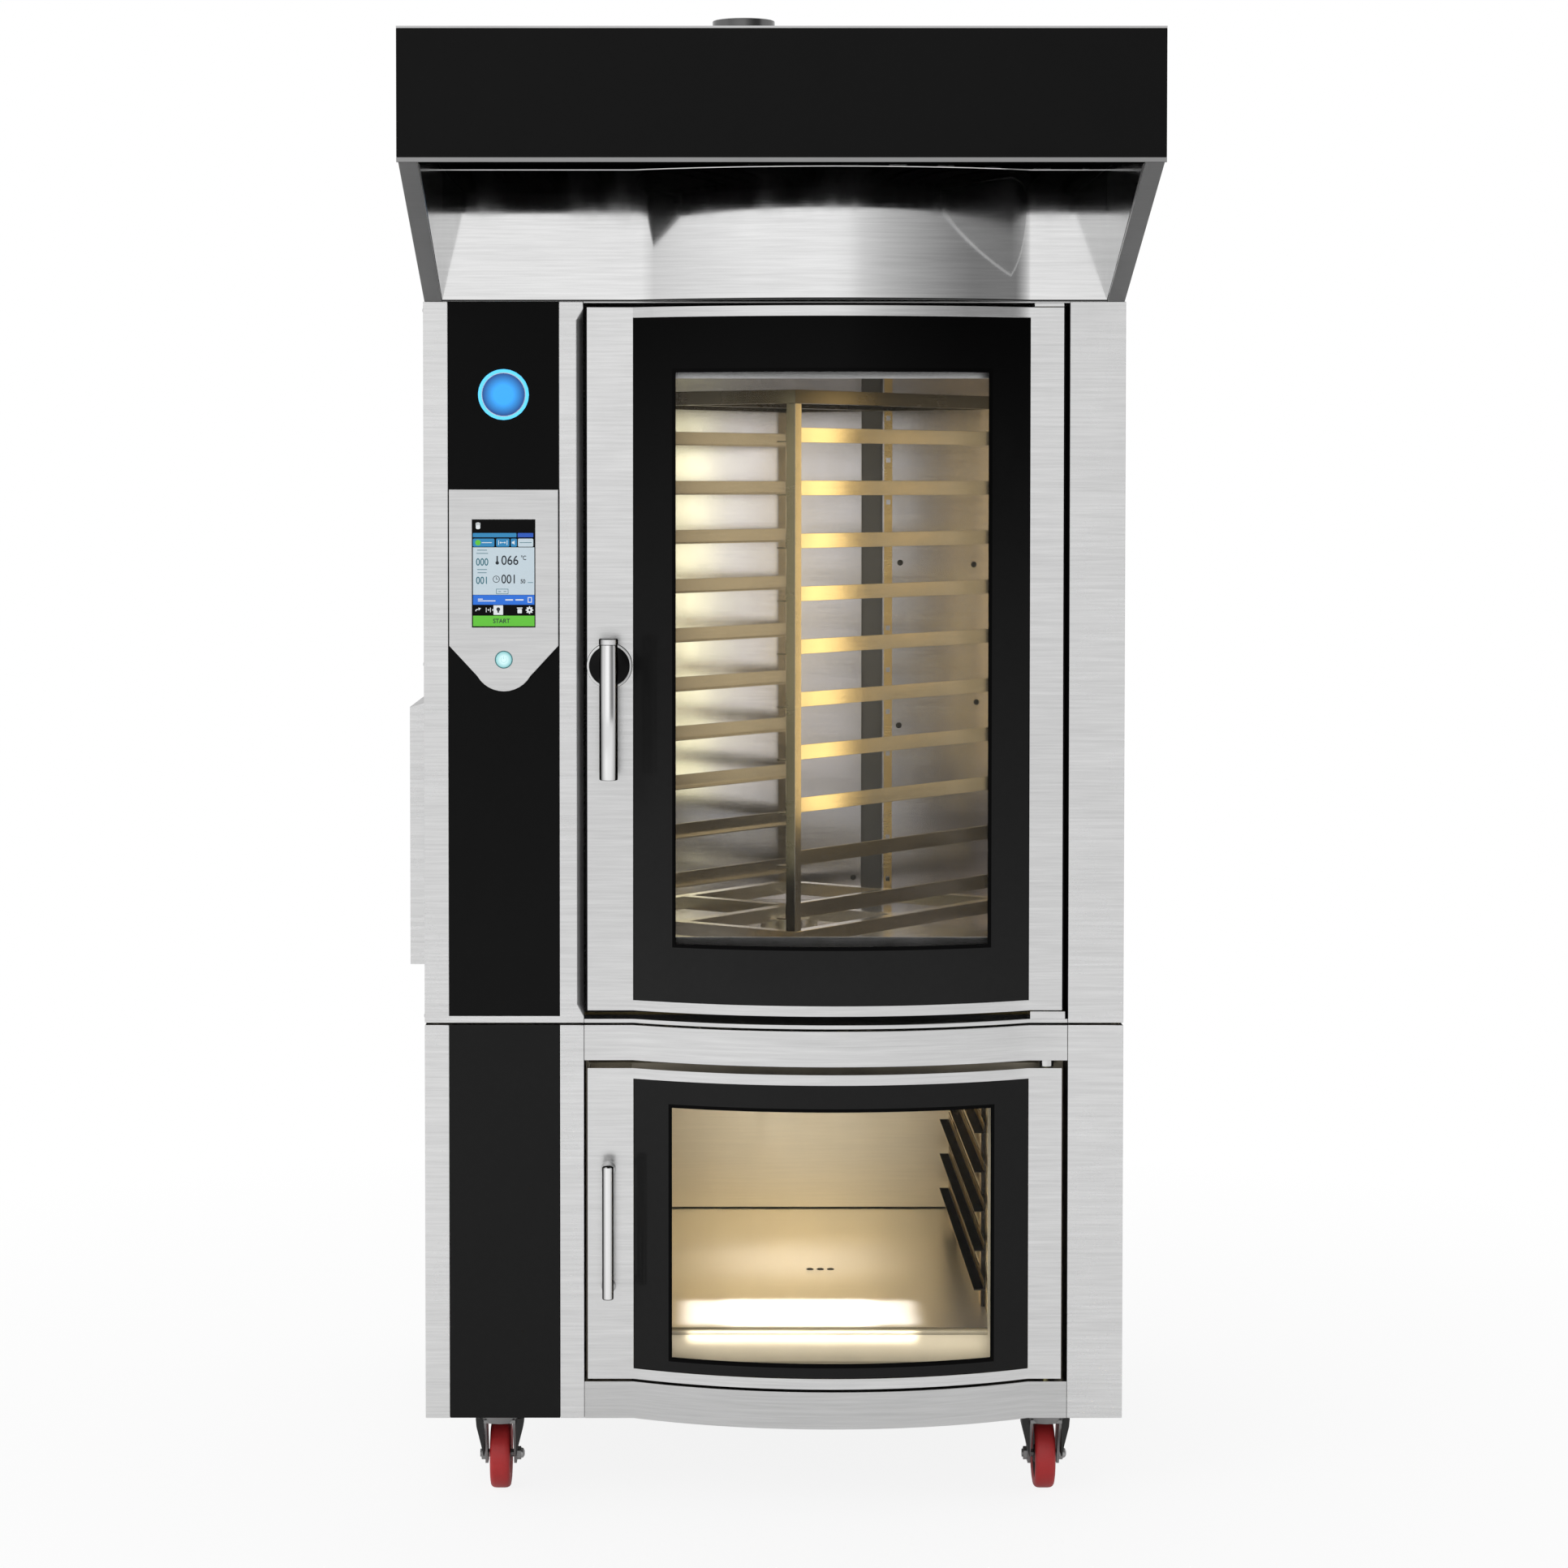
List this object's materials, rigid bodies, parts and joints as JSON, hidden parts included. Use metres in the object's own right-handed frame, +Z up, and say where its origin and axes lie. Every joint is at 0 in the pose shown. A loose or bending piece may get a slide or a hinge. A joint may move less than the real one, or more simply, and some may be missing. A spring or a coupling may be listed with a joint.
{
  "type": "rotating rack oven",
  "caption": "Upright convection oven with a turning tray rack behind a curved glass door, on a castored proofing cabinet, under an extraction hood.",
  "frame": {"origin": "bottom centre of the bounding box, on the floor under the castor wheels", "axes": "+Z up, front towards -Y, +X to the right seen from the front"},
  "size_m": [1.06, 1.532, 2.1413],
  "materials": {
    "brushed_steel": "horizontally brushed stainless",
    "inner_steel": "bright stainless, warm from the lamp",
    "polished_steel": "polished bar",
    "galvanised": "zinc plated",
    "filter_steel": "dull steel",
    "element_sheath": "heat-darkened sheath",
    "motor_paint": "painted casting",
    "black_glass": "back-painted gloss black",
    "door_glass": "curved pane, black border, clear window",
    "clear_glass": "clear",
    "screen_glass": "lit display",
    "blue_lens": "lit lens",
    "button_lens": "lit lens",
    "lamp_glass": "frosted, warm",
    "black_plastic": "gloss black",
    "rubber": "matt",
    "red_tyre": "satin red",
    "mineral_wool": "fibrous"
  },
  "bodies": {
    "root": {"chassis": "galvanised", "proofer_casing": "brushed_steel", "proofer_liner": "inner_steel", "runner_rack_left": "inner_steel", "runner_rack_right": "inner_steel", "plinth": "brushed_steel", "mid_beam": "brushed_steel", "door_sill": "brushed_steel", "lower_column": "brushed_steel", "lower_black_panel": "black_glass", "upper_column": "brushed_steel", "column_glass": "black_glass", "lower_hinge_column": "brushed_steel", "upper_hinge_column": "brushed_steel", "control_plate": "brushed_steel", "touch_screen": "screen_glass", "status_light": "blue_lens", "oven_casing": "brushed_steel", "chamber_liner": "inner_steel", "chamber_insulation": "mineral_wool", "air_baffle": "inner_steel", "fan_motor": "motor_paint", "heating_element": "element_sheath", "chamber_lamp": "lamp_glass", "rack_gearmotor": "motor_paint", "oven_gasket": "rubber", "proofer_gasket": "rubber", "oven_hinge_bottom": "brushed_steel", "oven_hinge_top": "brushed_steel", "side_box": "brushed_steel", "hood_left_side": "brushed_steel", "hood_right_side": "brushed_steel", "hood_shell": "brushed_steel", "hood_back_wall": "brushed_steel", "hood_fascia": "black_glass", "grease_filter": "filter_steel", "flue_collar": "brushed_steel", "cable_gland": "black_plastic"},
    "oven_door": {"oven_door_frame": "brushed_steel", "oven_door_glass": "door_glass", "oven_door_inner_glass": "clear_glass", "lever_rosette": "black_plastic"},
    "door_lever": {"door_lever": "polished_steel"},
    "proofer_door": {"proofer_door_frame": "brushed_steel", "proofer_door_glass": "door_glass", "proofer_handle": "polished_steel"},
    "rack": {"rack_base": "inner_steel", "rack_top": "inner_steel", "rack_side_near": "inner_steel", "rack_side_far": "inner_steel"},
    "fan": {"fan_impeller": "inner_steel"},
    "power_button": {"power_button": "button_lens"},
    "caster_front_left": {"caster_fork_front_left": "galvanised"},
    "wheel_front_left": {"caster_wheel_front_left": "red_tyre"},
    "caster_front_right": {"caster_fork_front_right": "galvanised"},
    "wheel_front_right": {"caster_wheel_front_right": "red_tyre"},
    "caster_rear_left": {"caster_fork_rear_left": "galvanised"},
    "wheel_rear_left": {"caster_wheel_rear_left": "red_tyre"},
    "caster_rear_right": {"caster_fork_rear_right": "galvanised"},
    "wheel_rear_right": {"caster_wheel_rear_right": "red_tyre"}
  },
  "joints": [
    {"name": "oven_door_hinge", "type": "hinge", "parent": "root", "child": "oven_door", "pos_m": [0.421, -0.297, 0.721], "axis": [0, 0, 1], "range_deg": [0, 120]},
    {"name": "door_lever_turn", "type": "hinge", "parent": "oven_door", "child": "door_lever", "pos_m": [-0.205, -0.312, 1.215], "axis": [0, 1, 0], "range_deg": [0, 90]},
    {"name": "proofer_door_hinge", "type": "hinge", "parent": "root", "child": "proofer_door", "pos_m": [0.421, -0.297, 0.19], "axis": [0, 0, 1], "range_deg": [0, 120]},
    {"name": "rack_turn", "type": "hinge", "parent": "root", "child": "rack", "pos_m": [0.063, 0.191, 0.796], "axis": [0, 0, 1], "continuous": true},
    {"name": "fan_spin", "type": "hinge", "parent": "root", "child": "fan", "pos_m": [-0.37, 0.393, 1.01], "axis": [1, 0, 0], "continuous": true},
    {"name": "power_button_press", "type": "slide", "parent": "root", "child": "power_button", "axis": [0, 1, 0], "range_m": [0, 0.002], "stiffness_N_per_m": 500},
    {"name": "swivel_front_left", "type": "hinge", "parent": "root", "child": "caster_front_left", "pos_m": [-0.368, -0.217, 0.11], "axis": [0, 0, 1], "continuous": true},
    {"name": "roll_front_left", "type": "hinge", "parent": "caster_front_left", "child": "wheel_front_left", "pos_m": [-0.368, -0.187, 0.05], "axis": [1, 0, 0], "continuous": true},
    {"name": "swivel_front_right", "type": "hinge", "parent": "root", "child": "caster_front_right", "pos_m": [0.428, -0.217, 0.11], "axis": [0, 0, 1], "continuous": true},
    {"name": "roll_front_right", "type": "hinge", "parent": "caster_front_right", "child": "wheel_front_right", "pos_m": [0.428, -0.187, 0.05], "axis": [1, 0, 0], "continuous": true},
    {"name": "swivel_rear_left", "type": "hinge", "parent": "root", "child": "caster_rear_left", "pos_m": [-0.368, 0.583, 0.11], "axis": [0, 0, 1], "continuous": true},
    {"name": "roll_rear_left", "type": "hinge", "parent": "caster_rear_left", "child": "wheel_rear_left", "pos_m": [-0.368, 0.613, 0.05], "axis": [1, 0, 0], "continuous": true},
    {"name": "swivel_rear_right", "type": "hinge", "parent": "root", "child": "caster_rear_right", "pos_m": [0.428, 0.583, 0.11], "axis": [0, 0, 1], "continuous": true},
    {"name": "roll_rear_right", "type": "hinge", "parent": "caster_rear_right", "child": "wheel_rear_right", "pos_m": [0.428, 0.613, 0.05], "axis": [1, 0, 0], "continuous": true}
  ]
}
